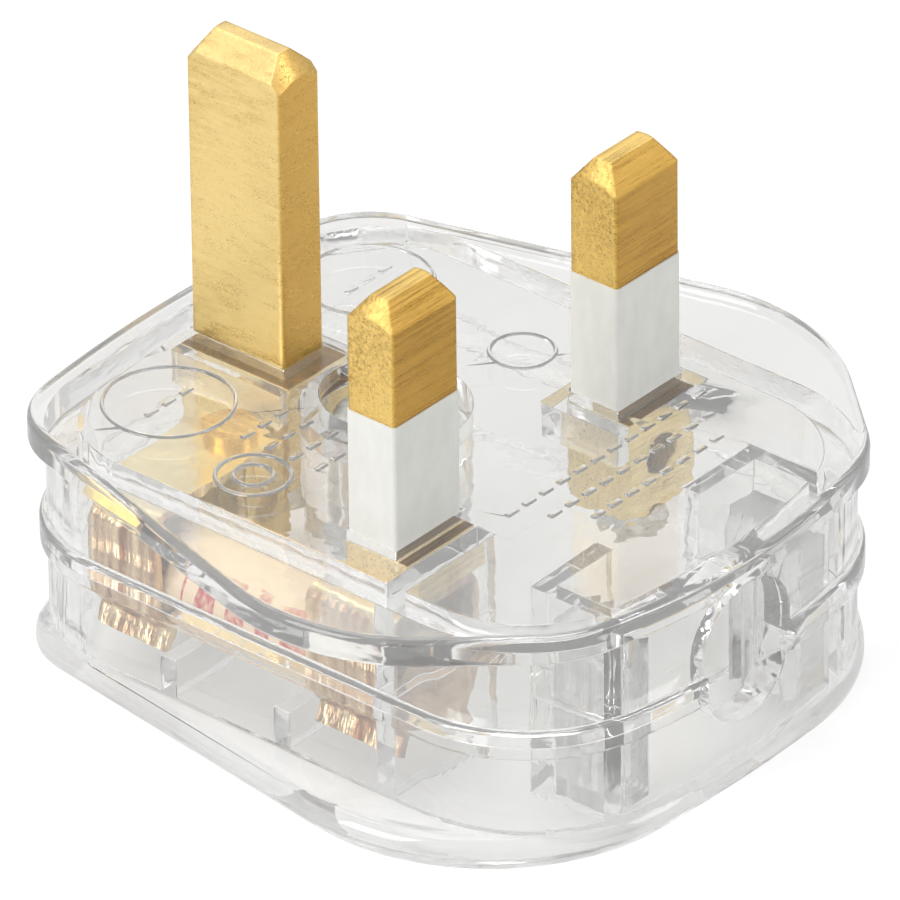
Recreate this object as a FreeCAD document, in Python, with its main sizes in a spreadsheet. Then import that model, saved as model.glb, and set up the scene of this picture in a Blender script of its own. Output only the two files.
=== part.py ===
import FreeCAD, Part
import Sketcher
import math
import os
from FreeCAD import Placement, Rotation, Vector

# UK three pin plug, 13 A, rewireable, with a clear two part housing.
# Millimetres. The plug rests on its cover with the pins up along +Z.
# The origin is on the resting plane, under the middle of the housing.
# The earth pin is at the +Y end and the cord comes in at the -Y end.
# Seen from above, live is on the -X side and neutral on the +X side.

SIZES = {
    # pins and their places
    "pin_pitch": 22.23,
    "earth_pin_y": 17.15,
    "small_blade_width": 6.35,
    "small_blade_thick": 4.0,
    "small_blade_reach": 17.7,
    "earth_blade_width": 8.0,
    "earth_blade_thick": 4.0,
    "earth_blade_reach": 22.73,
    "blade_edge_radius": 0.25,
    "sleeve_reach": 9.1,
    "sleeve_wall": 0.5,
    "sleeve_proud": 0.06,
    # blade tips: a flat strip, two long bevels and a cone that cuts the ends
    "small_tip_strip": 1.4,
    "small_tip_drop": 1.75,
    "small_cone_radius": 2.25,
    "small_cone_slope": 1.17,
    "earth_tip_strip": 1.1,
    "earth_tip_drop": 1.4,
    "earth_cone_radius": 2.8,
    "earth_cone_slope": 1.3,
    # inner ends of the pins
    "block_width": 6.6,
    "block_back": 2.13,
    "block_front": 3.07,
    "shoulder_height": 2.6,
    "neutral_block_height": 7.4,
    "earth_block_width": 5.8,
    "earth_block_back": 4.2,
    "earth_block_height": 7.9,
    "earth_screw_offset": 2.6,
    "wire_hole_diameter": 3.0,
    "wire_hole_depth": 4.6,
    # housing heights
    "face_height": 18.5,
    "plate_thick": 2.1,
    "seam_height": 10.0,
    "floor_thick": 2.5,
    "foot_thick": 3.1,
    "wall": 2.2,
    # face plate outline, corners before rounding
    "plate_earth_lip": 0.8,
    "plate_earth_bow": 107.0,
    "plate_earth_corner": 17.3,
    "plate_earth_round": 6.5,
    "plate_shoulder_x": 26.7,
    "plate_shoulder_y": -9.75,
    "plate_shoulder_round": 15.2,
    "plate_cord_end": 25.2,
    "plate_cord_bow": 48.0,
    "plate_cord_corner": 15.3,
    "plate_cord_round": 8.0,
    "plate_edge_round": 0.6,
    # straight sided body between the plate and the foot
    "body_half_width": 19.0,
    "fuse_end_room": 7.05,
    "earth_pin_room": 7.25,
    "body_earth_bow": 120.0,
    "body_earth_round": 8.8,
    "body_cord_end": 24.7,
    "body_cord_bow": 55.0,
    "body_cord_round": 10.6,
    "bead_proud": 0.5,
    "bead_height": 1.1,
    "bead_round": 0.4,
    # flared foot of the cover
    "foot_earth_corner": 18.5,
    "foot_earth_lip": 0.1,
    "foot_earth_round": 6.5,
    "foot_cord_corner": 24.9,
    "foot_cord_end": 24.9,
    "foot_cord_round": 16.8,
    "foot_bow": 107.0,
    "foot_top_round": 1.2,
    "foot_bottom_bevel": 1.6,
    # cover screw, its boss, pillar and nut
    "cover_screw_y": 6.05,
    "counterbore_diameter": 8.8,
    "counterbore_depth": 4.2,
    "boss_diameter": 11.4,
    "pillar_diameter": 11.0,
    "screw_diameter": 4.0,
    "screw_floor_gap": 0.8,
    "screw_head_diameter": 7.0,
    "screw_head_height": 2.4,
    "nut_width": 7.0,
    "nut_thick": 3.2,
    # terminal screws
    "terminal_screw_diameter": 3.0,
    "terminal_head_diameter": 4.6,
    "terminal_head_height": 1.9,
    "terminal_screw_gap": 0.5,
    "terminal_screw_bite": 2.4,
    "slot_width": 0.8,
    "slot_depth": 0.9,
    # fuse and its clips
    "fuse_x": -12.2,
    "fuse_y": 4.65,
    "fuse_lift": 0.774,
    "fuse_length": 25.4,
    "cap_diameter": 6.35,
    "cap_length": 6.0,
    "cap_wall": 0.3,
    "cap_end": 0.5,
    "barrel_diameter": 6.1,
    "barrel_bore": 3.6,
    "element_diameter": 0.4,
    "clip_width": 6.2,
    "clip_sheet": 0.6,
    "clip_bend": 0.9,
    "clip_wrap": 48.0,
    "clip_flare": 62.0,
    "clip_lip": 1.3,
    "rivet_diameter": 2.4,
    "rivet_head_diameter": 3.8,
    "rivet_head_height": 0.7,
    "rivet_depth": 1.5,
    # live terminal beside the rear clip
    "terminal_width": 4.1,
    "terminal_length": 6.2,
    "terminal_floor_gap": 1.1,
    "terminal_wire_diameter": 2.4,
    "terminal_wire_share": 0.5417,
    # ribs inside the housing
    "rib": 1.2,
    "stop_rib": 1.5,
    "fuse_stop_gap": 0.35,
    "barrier": 0.8,
    "fit_gap": 0.1,
    "loose_gap": 0.25,
    # cord entry and the chamber of the grip
    "cord_hole_sill": 3.35,
    "cord_hole_lintel": 0.25,
    "cord_hole_slimness": 0.8544,
    "chamber_half_width": 10.0,
    "chamber_depth": 5.6,
    "jaw_thick": 3.4,
    "jaw_top_gap": 2.3,
    "tooth_depth": 0.8,
}

doc = FreeCAD.newDocument("uk_three_pin_plug")
sheet = doc.addObject("Spreadsheet::Sheet", "Sizes")
for row, (alias, size) in enumerate(SIZES.items(), start=1):
    sheet.set("A%d" % row, alias)
    sheet.set("B%d" % row, str(size))
    sheet.setAlias("B%d" % row, alias)
doc.recompute()


def s(alias):
    """Name of a sheet cell, for use inside an expression."""
    return "Sizes." + alias


def number(expression):
    """Present value of an expression."""
    return float(probe.evalExpression(str(expression)))


probe = doc.addObject("App::FeaturePython", "Probe")

# how far a cut runs past the face that it opens
PAST = "1.0"
# an arc is never quite a half circle, so its radius is a hair over half its chord
HAIR = "0.001"
JAW_TEETH = 4

LIVE_X = "-%s / 2" % s("pin_pitch")
NEUTRAL_X = "%s / 2" % s("pin_pitch")
SMALL_PIN_Y = "%s - %s" % (s("earth_pin_y"), s("pin_pitch"))
PLATE_UNDER = "(%s - %s)" % (s("face_height"), s("plate_thick"))
EARTH_FRONT = ("(%s - %s - %s / 2 - %s)"
               % (s("earth_pin_y"), s("cover_screw_y"), s("boss_diameter"), s("loose_gap")))
CLIP_TOP = "(%s - %s)" % (PLATE_UNDER, s("shoulder_height"))
FUSE_FRONT = "(%s - %s / 2)" % (s("fuse_y"), s("fuse_length"))
FUSE_BACK = "(%s + %s / 2)" % (s("fuse_y"), s("fuse_length"))
STOP_BACK = ("min(%s - %s - %s; %s - %s)"
             % (SMALL_PIN_Y, s("block_front"), s("loose_gap"), FUSE_FRONT, s("fuse_stop_gap")))
BODY_EARTH_END = ("max(%s + %s; %s + %s)"
                  % (FUSE_BACK, s("fuse_end_room"), s("earth_pin_y"), s("earth_pin_room")))
INNER_SIDE = "(%s - %s / 2)" % (s("body_half_width"), s("wall"))
# the fuse lies between the floor and the rivet head under the clip's top
FUSE_ROOM = ("(%s - %s - %s - %s)"
             % (CLIP_TOP, s("clip_sheet"), s("rivet_head_height"), s("floor_thick")))
FUSE_Z = ("(%s + %s / 2 + %s * (%s - %s))"
          % (s("floor_thick"), s("cap_diameter"), s("fuse_lift"), FUSE_ROOM, s("cap_diameter")))
TAIL_X = "%s - (%s)" % (s("fuse_x"), LIVE_X)
TERMINAL_LEFT = ("(%s + %s / 2 + %s + %s)"
                 % (s("fuse_x"), s("cap_diameter"), s("clip_sheet"), s("loose_gap")))
TERMINAL_X = "(%s + %s / 2)" % (TERMINAL_LEFT, s("terminal_width"))
TERMINAL_Y = "(%s - %s / 2)" % (FUSE_BACK, s("clip_width"))
TERMINAL_TOP = "(%s - %s)" % (CLIP_TOP, s("clip_sheet"))
TERMINAL_HEIGHT = ("(%s - %s - %s - %s - %s)"
                   % (TERMINAL_TOP, s("floor_thick"), s("terminal_floor_gap"),
                      s("terminal_head_height"), s("terminal_screw_gap")))
CORD_HOLE_HEIGHT = ("(%s - %s - %s - %s)"
                    % (PLATE_UNDER, s("cord_hole_lintel"), s("floor_thick"), s("cord_hole_sill")))
CORD_HOLE_WIDTH = "(%s * %s)" % (CORD_HOLE_HEIGHT, s("cord_hole_slimness"))
CORD_HOLE_Z = "(%s - %s - %s / 2)" % (PLATE_UNDER, s("cord_hole_lintel"), CORD_HOLE_HEIGHT)


def bind(thing, values):
    """Tie properties of an object to expressions."""
    for name, expression in values.items():
        thing.setExpression(name, str(expression))


def place(thing, x="0", y="0", z="0"):
    """Tie the place of a sub-part to expressions."""
    bind(thing, {"Placement.Base.x": x, "Placement.Base.y": y, "Placement.Base.z": z})


def new_body(label):
    body = doc.addObject("PartDesign::Body", label)
    body.Label = label
    return body


def origin_feature(body, role):
    return [part for part in body.Origin.OriginFeatures if part.Role == role][0]


def new_sketch(body, name, plane="XY_Plane", height="0"):
    """Empty sketch on one of the body's own planes, moved along its normal."""
    sketch = body.newObject("Sketcher::SketchObject", name)
    sketch.AttachmentSupport = [(origin_feature(body, plane), "")]
    sketch.MapMode = "FlatFace"
    bind(sketch, {"AttachmentOffset.Base.z": height})
    return sketch


def pin_down(sketch, geometry, point, x, y):
    """Fix one point of a sketch at a pair of expressions."""
    for kind, expression in (("DistanceX", x), ("DistanceY", y)):
        if number(expression) == 0:
            axis = -2 if kind == "DistanceX" else -1
            sketch.addConstraint(Sketcher.Constraint("PointOnObject", geometry, point, axis))
            continue
        rule = Sketcher.Constraint(kind, -1, 1, geometry, point, number(expression))
        index = sketch.addConstraint(rule)
        bind(sketch, {"Constraints[%d]" % index: expression})


def bow_centre(start, end, radius):
    """Centre of the outward arc from one point to the next, counter-clockwise."""
    chord = end.sub(start)
    inward = Vector(-chord.y, chord.x, 0).normalize()
    reach = math.sqrt(radius ** 2 - (chord.Length / 2) ** 2)
    return start.add(end).multiply(0.5).add(inward.multiply(reach))


def arc_between(centre, start, end):
    """Counter-clockwise arc about a centre."""
    first = math.atan2(start.y - centre.y, start.x - centre.x)
    last = math.atan2(end.y - centre.y, end.x - centre.x)
    circle = Part.Circle(centre, Vector(0, 0, 1), start.sub(centre).Length)
    return Part.ArcOfCircle(circle, first, last)


def heading(start, end, bow, at_end):
    """Unit direction of a side at one of its ends."""
    if bow is None:
        return end.sub(start).normalize()
    point = end if at_end else start
    spoke = point.sub(bow_centre(start, end, bow))
    return Vector(-spoke.y, spoke.x, 0).normalize()


def add_radius(sketch, geometry, radius):
    rule = Sketcher.Constraint("Radius", geometry, number(radius))
    index = sketch.addConstraint(rule)
    bind(sketch, {"Constraints[%d]" % index: radius})


def draw_outline(sketch, corners, bows=None, rounds=None):
    """Closed outline through corners, counter-clockwise.

    Bows give the radius of the sides that are arcs, rounds that of the corners
    that are rounded, both by number. A rounded corner stays as a fixed point.
    """
    bows, rounds = bows or {}, rounds or {}
    count = len(corners)
    points = [Vector(number(x), number(y), 0) for x, y in corners]
    bow = [number(bows[side]) if side in bows else None for side in range(count)]
    starts, ends = list(points), [points[(side + 1) % count] for side in range(count)]
    arcs = {}
    for corner in rounds:
        before = (corner - 1) % count
        into = heading(points[before], points[corner], bow[before], True)
        out = heading(points[corner], points[(corner + 1) % count], bow[corner], False)
        radius = number(rounds[corner])
        back_off = radius * math.tan(into.getAngle(out) / 2)
        ends[before] = points[corner].sub(Vector(into).multiply(back_off))
        starts[corner] = points[corner].add(Vector(out).multiply(back_off))
        centre = ends[before].add(Vector(-into.y, into.x, 0).multiply(radius))
        arcs[corner] = arc_between(centre, ends[before], starts[corner])
    first = sketch.GeometryCount
    for side in range(count):
        if bow[side] is None:
            sketch.addGeometry(Part.LineSegment(starts[side], ends[side]), False)
        else:
            centre = bow_centre(points[side], points[(side + 1) % count], bow[side])
            sketch.addGeometry(arc_between(centre, starts[side], ends[side]), False)
    for corner in range(count):
        into, out = first + (corner - 1) % count, first + corner
        if corner not in rounds:
            sketch.addConstraint(Sketcher.Constraint("Coincident", into, 2, out, 1))
            pin_down(sketch, out, 1, *corners[corner])
            continue
        arc = sketch.addGeometry(arcs[corner], False)
        mark = sketch.addGeometry(Part.Point(points[corner]), True)
        sketch.addConstraint(Sketcher.Constraint("Tangent", into, 2, arc, 1))
        sketch.addConstraint(Sketcher.Constraint("Tangent", arc, 2, out, 1))
        sketch.addConstraint(Sketcher.Constraint("PointOnObject", mark, 1, into))
        sketch.addConstraint(Sketcher.Constraint("PointOnObject", mark, 1, out))
        pin_down(sketch, mark, 1, *corners[corner])
        add_radius(sketch, arc, rounds[corner])
    for side in bows:
        add_radius(sketch, first + side, bows[side])


def draw_box(sketch, left, right, front, back):
    draw_outline(sketch, [(left, front), (right, front), (right, back), (left, back)])


def draw_circle(sketch, x, y, radius):
    middle = Vector(number(x), number(y), 0)
    circle = Part.Circle(middle, Vector(0, 0, 1), number(radius))
    geometry = sketch.addGeometry(circle, False)
    pin_down(sketch, geometry, 3, x, y)
    add_radius(sketch, geometry, radius)


def pad(body, sketch, length, down=False):
    feature = body.newObject("PartDesign::Pad", sketch.Name + "_pad")
    feature.Profile = sketch
    feature.Reversed = down
    bind(feature, {"Length": length})
    doc.recompute()
    return feature


def pocket(body, sketch, length, up=False, both=False):
    """Cut below the sketch plane, above it, or equally to both sides."""
    before = body.Shape.Volume
    feature = body.newObject("PartDesign::Pocket", sketch.Name + "_cut")
    feature.Profile = sketch
    feature.Reversed = up
    feature.Midplane = both
    bind(feature, {"Length": length})
    doc.recompute()
    if body.Shape.Volume >= before:
        raise RuntimeError(sketch.Name + " cuts nothing")
    return feature


def turn(body, sketch, kind="Revolution", axis="Z_Axis"):
    feature = body.newObject("PartDesign::" + kind, sketch.Name + "_turned")
    feature.Profile = sketch
    feature.ReferenceAxis = (origin_feature(body, axis), [""])
    feature.Angle = 360.0
    doc.recompute()
    return feature


def upright_edges(body, low, high):
    """Names of the straight upright edges between two heights."""
    low, high = number(low), number(high)
    names = []
    for index, edge in enumerate(body.Tip.Shape.Edges, start=1):
        box = edge.BoundBox
        level = abs(box.ZMin - low) < 0.01 and abs(box.ZMax - high) < 0.01
        if level and box.XLength < 0.01 and box.YLength < 0.01:
            names.append("Edge%d" % index)
    return names


def rim_edges(body, height):
    """Names of the edges round the widest level face at one height."""
    height = number(height)
    shape = body.Tip.Shape
    level = [face for face in shape.Faces
             if face.BoundBox.ZLength < 0.001 and abs(face.BoundBox.ZMin - height) < 0.001]
    widest = max(level, key=lambda face: face.BoundBox.DiagonalLength)
    rim = widest.OuterWire.Edges
    return ["Edge%d" % index for index, edge in enumerate(shape.Edges, start=1)
            if any(edge.isSame(other) for other in rim)]


def round_edges(body, names, radius, name):
    base = body.Tip
    feature = body.newObject("PartDesign::Fillet", name)
    feature.Base = (base, names)
    bind(feature, {"Radius": radius})
    doc.recompute()
    return feature


def bevel_edges(body, names, size, name):
    base = body.Tip
    feature = body.newObject("PartDesign::Chamfer", name)
    feature.Base = (base, names)
    bind(feature, {"Size": size})
    doc.recompute()
    return feature


# Outlines of the housing

def mirrored(right_side):
    """Corners of the right side, from the cord end up, with their mirror images."""
    left_side = [("-(%s)" % x, y) for x, y in reversed(right_side)]
    return right_side + left_side


def end_corner(end, bow, half_width):
    """Y of the corner where a bowed end meets its side."""
    return "(%s) - (%s) + sqrt((%s)^2 - (%s)^2)" % (end, bow, bow, half_width)


def draw_plate(sketch):
    cord_y = end_corner(s("plate_cord_end"), s("plate_cord_bow"), s("plate_cord_corner"))
    earth_end = "%s + %s" % (BODY_EARTH_END, s("plate_earth_lip"))
    earth_y = end_corner(earth_end, s("plate_earth_bow"), s("plate_earth_corner"))
    right_side = [
        (s("plate_cord_corner"), "-(%s)" % cord_y),
        (s("plate_shoulder_x"), s("plate_shoulder_y")),
        (s("plate_earth_corner"), earth_y),
    ]
    rounds = [s("plate_cord_round"), s("plate_shoulder_round"), s("plate_earth_round")]
    draw_outline(sketch, mirrored(right_side),
                 {2: s("plate_earth_bow"), 5: s("plate_cord_bow")},
                 dict(enumerate(rounds + rounds[::-1])))


def draw_body(sketch, inset="0"):
    """Outline of the straight sided body, drawn inward by an inset."""
    half_width = "(%s - (%s))" % (s("body_half_width"), inset)
    cord_bow = "(%s - (%s))" % (s("body_cord_bow"), inset)
    earth_bow = "(%s - (%s))" % (s("body_earth_bow"), inset)
    cord_y = end_corner("%s - (%s)" % (s("body_cord_end"), inset), cord_bow, half_width)
    earth_y = end_corner("%s - (%s)" % (BODY_EARTH_END, inset), earth_bow, half_width)
    right_side = [(half_width, "-(%s)" % cord_y), (half_width, earth_y)]
    rounds = ["%s - (%s)" % (s("body_%s_round" % end), inset) for end in ("cord", "earth")]
    draw_outline(sketch, mirrored(right_side), {1: earth_bow, 3: cord_bow},
                 dict(enumerate(rounds + rounds[::-1])))


def draw_foot(sketch):
    cord_y = end_corner(s("foot_cord_end"), s("foot_bow"), s("foot_cord_corner"))
    earth_end = "%s + %s" % (BODY_EARTH_END, s("foot_earth_lip"))
    earth_y = end_corner(earth_end, s("foot_bow"), s("foot_earth_corner"))
    right_side = [(s("foot_cord_corner"), "-(%s)" % cord_y), (s("foot_earth_corner"), earth_y)]
    rounds = [s("foot_cord_round"), s("foot_earth_round")]
    draw_outline(sketch, mirrored(right_side), {1: s("foot_bow"), 3: s("foot_bow")},
                 dict(enumerate(rounds + rounds[::-1])))


def body_ring(body, name, low, high, proud="0"):
    """Layer of the housing's upright wall, with its outside moved outward."""
    sketch = new_sketch(body, name, height=low)
    draw_body(sketch, "-(%s)" % proud)
    draw_body(sketch, s("wall"))
    return pad(body, sketch, "(%s) - (%s)" % (high, low))


# Features that the base and the cover share

def cut_cord_hole(body):
    """Tall rounded hole through the wall at the cord end, split by the seam."""
    outside = "%s + %s" % (s("body_cord_end"), PAST)
    sketch = new_sketch(body, body.Label + "_cord_hole", "XZ_Plane", outside)
    radius = "%s / 2" % CORD_HOLE_WIDTH
    rise = "(%s - %s) / 2" % (CORD_HOLE_HEIGHT, CORD_HOLE_WIDTH)
    low, high = "%s - %s" % (CORD_HOLE_Z, rise), "%s + %s" % (CORD_HOLE_Z, rise)
    corners = [("-%s" % radius, low), (radius, low), (radius, high), ("-%s" % radius, high)]
    bow = "%s + %s" % (radius, HAIR)
    draw_outline(sketch, corners, {0: bow, 2: bow})
    pocket(body, sketch, "%s + 3 * %s" % (s("wall"), PAST))


def draw_grip_chamber(sketch):
    """Two side walls and a notched cross wall round the cord grip."""
    inner = s("chamber_half_width")
    outer = "%s + %s" % (inner, s("rib"))
    front = "-(%s - %s / 2)" % (s("body_cord_end"), s("wall"))
    back = "-(%s - %s - %s)" % (s("body_cord_end"), s("wall"), s("chamber_depth"))
    notch = "%s / 2" % CORD_HOLE_WIDTH
    deep_back = "%s + %s" % (back, s("rib"))
    draw_box(sketch, "-(%s)" % outer, "-(%s)" % inner, front, deep_back)
    draw_box(sketch, inner, outer, front, deep_back)
    draw_box(sketch, "-(%s)" % inner, "-(%s)" % notch, back, deep_back)
    draw_box(sketch, notch, inner, back, deep_back)


def draw_stop_wall(sketch):
    """Cross wall in front of the fuse and the live pin, out to the housing's side."""
    inner_end = "%s + %s / 2" % (LIVE_X, s("block_width"))
    front = "%s - %s" % (STOP_BACK, s("stop_rib"))
    draw_box(sketch, "-%s" % INNER_SIDE, inner_end, front, STOP_BACK)


# The base: face plate and upper skirt

def make_base():
    body = new_body("base")
    plate = new_sketch(body, "plate", height=PLATE_UNDER)
    draw_plate(plate)
    pad(body, plate, s("plate_thick"))
    round_edges(body, rim_edges(body, s("face_height")), s("plate_edge_round"), "plate_top_edge")
    round_edges(body, rim_edges(body, PLATE_UNDER), s("plate_edge_round") + " / 2", "plate_lower_edge")

    body_ring(body, "skirt", s("seam_height"), PLATE_UNDER)
    bead_top = "%s + %s" % (s("seam_height"), s("bead_height"))
    body_ring(body, "bead", s("seam_height"), bead_top, s("bead_proud"))
    round_edges(body, rim_edges(body, bead_top), s("bead_round"), "bead_edge")

    depth = "%s - %s" % (PLATE_UNDER, s("seam_height"))
    boss = new_sketch(body, "boss", height=PLATE_UNDER)
    draw_circle(boss, "0", s("cover_screw_y"), "%s / 2" % s("boss_diameter"))
    pad(body, boss, depth, down=True)

    walls = new_sketch(body, "walls", height=PLATE_UNDER)
    draw_grip_chamber(walls)
    draw_stop_wall(walls)
    pad(body, walls, depth, down=True)

    make_pin_sockets(body)

    apertures = new_sketch(body, "apertures", height=s("face_height"))
    for x in (LIVE_X, NEUTRAL_X):
        half_x = "(%s / 2 + %s + %s)" % (s("small_blade_width"), s("sleeve_proud"), s("fit_gap"))
        half_y = "(%s / 2 + %s + %s)" % (s("small_blade_thick"), s("sleeve_proud"), s("fit_gap"))
        draw_box(apertures, "%s - %s" % (x, half_x), "%s + %s" % (x, half_x),
                 "%s - %s" % (SMALL_PIN_Y, half_y), "%s + %s" % (SMALL_PIN_Y, half_y))
    half_x = "(%s / 2 + %s)" % (s("earth_blade_thick"), s("fit_gap"))
    half_y = "(%s / 2 + %s)" % (s("earth_blade_width"), s("fit_gap"))
    draw_box(apertures, "-" + half_x, half_x,
             "%s - %s" % (s("earth_pin_y"), half_y), "%s + %s" % (s("earth_pin_y"), half_y))
    pocket(body, apertures, s("plate_thick"))

    recess = new_sketch(body, "recess", height=s("face_height"))
    draw_circle(recess, "0", s("cover_screw_y"), "%s / 2" % s("counterbore_diameter"))
    pocket(body, recess, s("counterbore_depth"))
    hole = new_sketch(body, "screw_hole", height=s("face_height"))
    draw_circle(hole, "0", s("cover_screw_y"), "%s / 2 + %s" % (s("screw_diameter"), s("loose_gap")))
    pocket(body, hole, "%s - %s + %s" % (s("face_height"), s("seam_height"), PAST))
    cut_cord_hole(body)
    return body


def make_pin_sockets(body):
    """Short walls that locate the inner ends of the pins and the live terminal."""
    sketch = new_sketch(body, "sockets", height=PLATE_UNDER)
    gap, rib = s("fit_gap"), s("rib")
    side = "(%s / 2 + %s)" % (s("block_width"), gap)
    front = "(%s - %s - %s)" % (SMALL_PIN_Y, s("block_front"), gap)
    back = "(%s + %s + %s)" % (SMALL_PIN_Y, s("block_back"), gap)
    # neutral: three sides, open to the wire at the front
    draw_box(sketch, "%s - %s - %s" % (NEUTRAL_X, side, rib), "%s - %s" % (NEUTRAL_X, side),
             front, "%s + %s" % (back, rib))
    draw_box(sketch, "%s + %s" % (NEUTRAL_X, side), "%s + %s + %s" % (NEUTRAL_X, side, rib),
             front, "%s + %s" % (back, rib))
    draw_box(sketch, "%s - %s" % (NEUTRAL_X, side), "%s + %s" % (NEUTRAL_X, side),
             back, "%s + %s" % (back, rib))
    # earth: a wall on each side, which also keep the live terminal off it
    half = "(%s / 2 + %s)" % (s("earth_block_width"), gap)
    earth_front = "(%s - %s)" % (s("earth_pin_y"), EARTH_FRONT)
    earth_back = "(%s + %s)" % (s("earth_pin_y"), s("earth_block_back"))
    draw_box(sketch, "-(%s + %s)" % (half, s("barrier")), "-" + half, earth_front, earth_back)
    draw_box(sketch, half, "%s + %s" % (half, s("barrier")), earth_front, earth_back)
    pad(body, sketch, s("shoulder_height"), down=True)


# The cover: lower skirt, flared foot and floor

def make_cover():
    body = new_body("cover")
    foot = new_sketch(body, "foot")
    draw_foot(foot)
    pad(body, foot, s("foot_thick"))
    round_edges(body, rim_edges(body, s("foot_thick")), s("foot_top_round"), "foot_top_edge")
    bevel_edges(body, rim_edges(body, "0"), s("foot_bottom_bevel"), "foot_bottom_edge")

    hollow = new_sketch(body, "hollow", height=s("foot_thick"))
    draw_body(hollow, s("wall"))
    pocket(body, hollow, "%s - %s" % (s("foot_thick"), s("floor_thick")))
    skirt_low = "%s - %s" % (s("foot_thick"), s("foot_top_round"))
    body_ring(body, "lower_skirt", skirt_low, s("seam_height"))
    bead_low = "%s - %s" % (s("seam_height"), s("bead_height"))
    body_ring(body, "lower_bead", bead_low, s("seam_height"), s("bead_proud"))
    round_edges(body, rim_edges(body, bead_low), s("bead_round"), "lower_bead_edge")

    depth = "%s - %s" % (s("seam_height"), s("floor_thick"))
    pillar = new_sketch(body, "pillar", height=s("floor_thick"))
    draw_circle(pillar, "0", s("cover_screw_y"), "%s / 2" % s("pillar_diameter"))
    pad(body, pillar, depth)
    walls = new_sketch(body, "lower_walls", height=s("floor_thick"))
    draw_grip_chamber(walls)
    draw_stop_wall(walls)
    pad(body, walls, depth)

    saddles = new_sketch(body, "saddles", height=s("floor_thick"))
    half = "%s / 2" % s("cap_diameter")
    for end, sign in ((FUSE_FRONT, "+"), (FUSE_BACK, "-")):
        near = "%s %s (%s + %s)" % (end, sign, s("cap_length"), s("rib"))
        far = "%s %s %s" % (near, sign, s("rib"))
        front, back = (near, far) if sign == "+" else (far, near)
        draw_box(saddles, "-%s" % INNER_SIDE, "%s + %s" % (s("fuse_x"), half), front, back)
    pad(body, saddles, "%s - %s / 2 - %s - %s"
        % (FUSE_Z, s("barrel_diameter"), s("loose_gap"), s("floor_thick")))

    nut = new_sketch(body, "nut_pocket", height=s("seam_height"))
    half = "(%s / 2 + %s)" % (s("nut_width"), s("fit_gap"))
    draw_box(nut, "-" + half, half,
             "%s - %s" % (s("cover_screw_y"), half), "%s + %s" % (s("cover_screw_y"), half))
    pocket(body, nut, s("nut_thick"))
    hole = new_sketch(body, "nut_hole", height=s("seam_height"))
    draw_circle(hole, "0", s("cover_screw_y"), "%s / 2 + %s" % (s("screw_diameter"), s("loose_gap")))
    pocket(body, hole, "%s - %s" % (s("seam_height"), s("floor_thick")))
    cut_cord_hole(body)
    return body


# Pins

def cut_tip(body, name, reach, strip, drop, width, thick, cone_radius, cone_slope, long_axis):
    """Two long bevels, then a cone about the pin's own axis."""
    plane = "XZ_Plane" if long_axis == "Y" else "YZ_Plane"
    bevels = new_sketch(body, name + "_bevels", plane)
    far = "(%s / 2 + %s)" % (thick, PAST)
    near = "(%s / 2)" % strip
    slope = "((%s) / (%s / 2 - %s))" % (drop, thick, near)
    low = "%s - %s * (%s - %s)" % (reach, slope, far, near)
    draw_outline(bevels, [(near, reach), (far, low), (far, reach)])
    draw_outline(bevels, [("-" + near, reach), ("-" + far, reach), ("-" + far, low)])
    pocket(body, bevels, "%s + 2 * %s" % (width, PAST), both=True)
    cone = new_sketch(body, name + "_cone", "XZ_Plane")
    rim = "(%s / 2 + %s / 2 + %s)" % (width, thick, PAST)
    rim_top = "%s - %s * (%s - %s)" % (reach, cone_slope, rim, cone_radius)
    draw_outline(cone, [(cone_radius, reach), (rim, rim_top), (rim, reach)])
    turn(body, cone, "Groove")


def centred_box(body, name, width, thick, low, high):
    """Upright bar about the body's own axis."""
    sketch = new_sketch(body, name, height=low)
    draw_box(sketch, "-(%s) / 2" % width, "(%s) / 2" % width, "-(%s) / 2" % thick, "(%s) / 2" % thick)
    return pad(body, sketch, "(%s) - (%s)" % (high, low))


def small_pin_blade(body):
    """Blade of the live and neutral pins: a waist for the sleeve and the bare end."""
    waist_width = "%s - 2 * %s" % (s("small_blade_width"), s("sleeve_wall"))
    waist_thick = "%s - 2 * %s" % (s("small_blade_thick"), s("sleeve_wall"))
    centred_box(body, "waist", waist_width, waist_thick, "-" + s("plate_thick"), s("sleeve_reach"))
    centred_box(body, "blade", s("small_blade_width"), s("small_blade_thick"),
                s("sleeve_reach"), s("small_blade_reach"))
    round_edges(body, upright_edges(body, s("sleeve_reach"), s("small_blade_reach")),
                s("blade_edge_radius"), "blade_edges")
    cut_tip(body, "small", s("small_blade_reach"), s("small_tip_strip"), s("small_tip_drop"),
            s("small_blade_width"), s("small_blade_thick"),
            s("small_cone_radius"), s("small_cone_slope"), "X")


def block_below(body, name, height):
    """Shoulder or block of a small pin, under the face plate."""
    sketch = new_sketch(body, name, height="-" + s("plate_thick"))
    half = "%s / 2" % s("block_width")
    draw_box(sketch, "-" + half, half, "-" + s("block_front"), s("block_back"))
    return pad(body, sketch, height, down=True)


def make_live_pin():
    body = new_body("live_pin")
    block_below(body, "shoulder", s("shoulder_height"))
    small_pin_blade(body)
    # riveted tail through the front clip, over the fuse
    tail = new_sketch(body, "tail", height="-%s - %s" % (s("plate_thick"), s("shoulder_height")))
    draw_circle(tail, TAIL_X, "0", "%s / 2" % s("rivet_diameter"))
    pad(body, tail, "%s + %s" % (s("clip_sheet"), s("rivet_head_height")), down=True)
    head = new_sketch(body, "tail_head", height="-%s - %s - %s"
                      % (s("plate_thick"), s("shoulder_height"), s("clip_sheet")))
    draw_circle(head, TAIL_X, "0", "%s / 2" % s("rivet_head_diameter"))
    pad(body, head, s("rivet_head_height"), down=True)
    place(body, LIVE_X, SMALL_PIN_Y, s("face_height"))
    return body


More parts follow.
